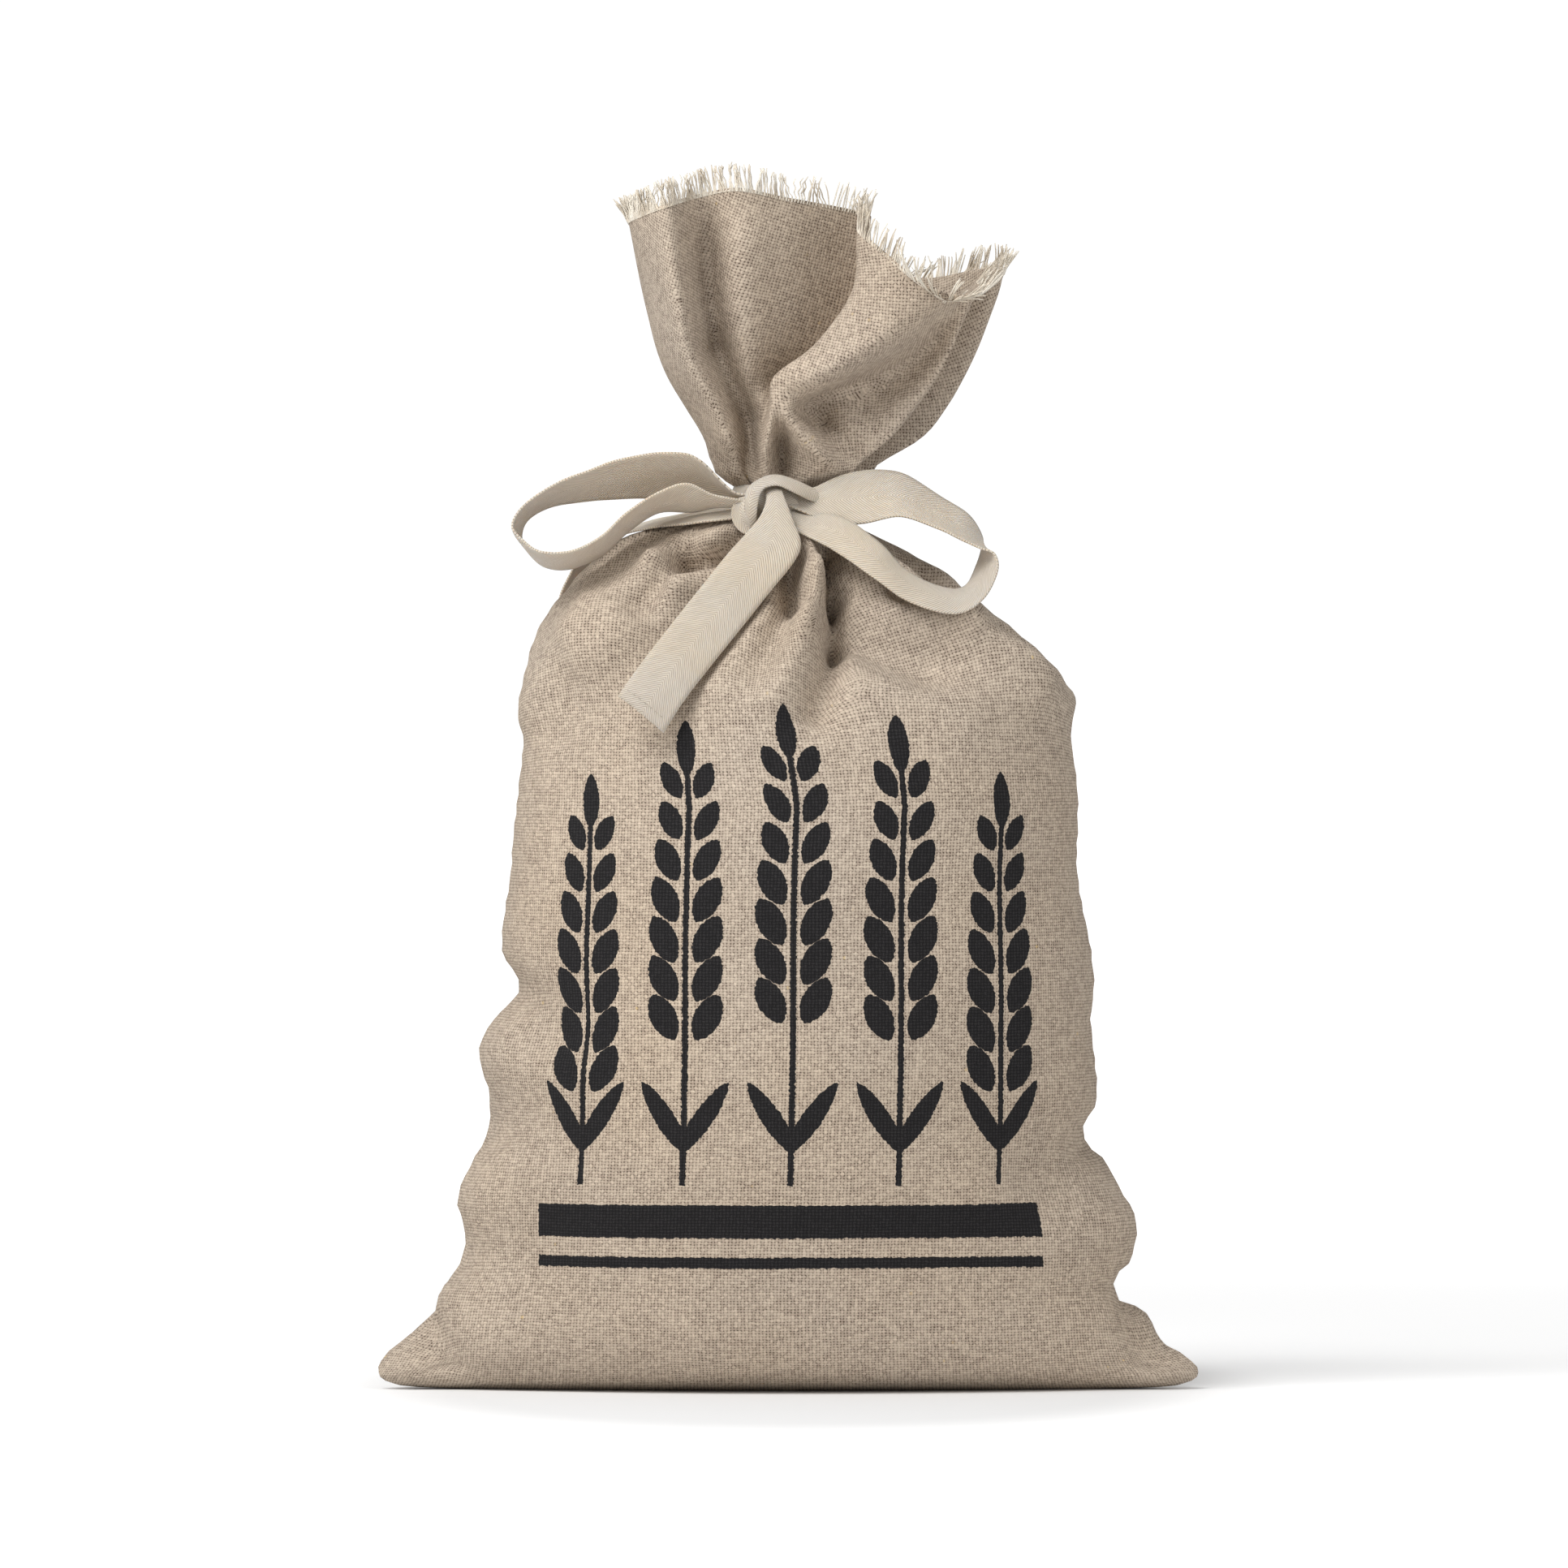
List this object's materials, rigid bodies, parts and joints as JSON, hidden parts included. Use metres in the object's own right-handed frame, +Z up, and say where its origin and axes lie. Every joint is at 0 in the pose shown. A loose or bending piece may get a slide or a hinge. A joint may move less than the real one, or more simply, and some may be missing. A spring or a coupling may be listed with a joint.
{
  "type": "linen bread bag",
  "caption": "Upright linen bread bag, filled out and standing on its base, its frayed mouth gathered and tied with a cotton tape bow.",
  "frame": {"origin": "on the surface that the bag stands on, under the middle of its flat base", "axes": "+Z up along the standing bag, +X to the right along the wide base as seen from the front, +Y from the front to the back"},
  "size_m": [0.292, 0.148, 0.4389],
  "materials": {
    "linen": "matte plain weave, natural flax",
    "linen_thread": "matte loose flax threads",
    "cotton_tape": "matte herringbone twill tape, unbleached"
  },
  "bodies": {
    "root": {"bag": "linen", "fringe": "linen_thread", "tie_tape": "cotton_tape"}
  },
  "joints": []
}
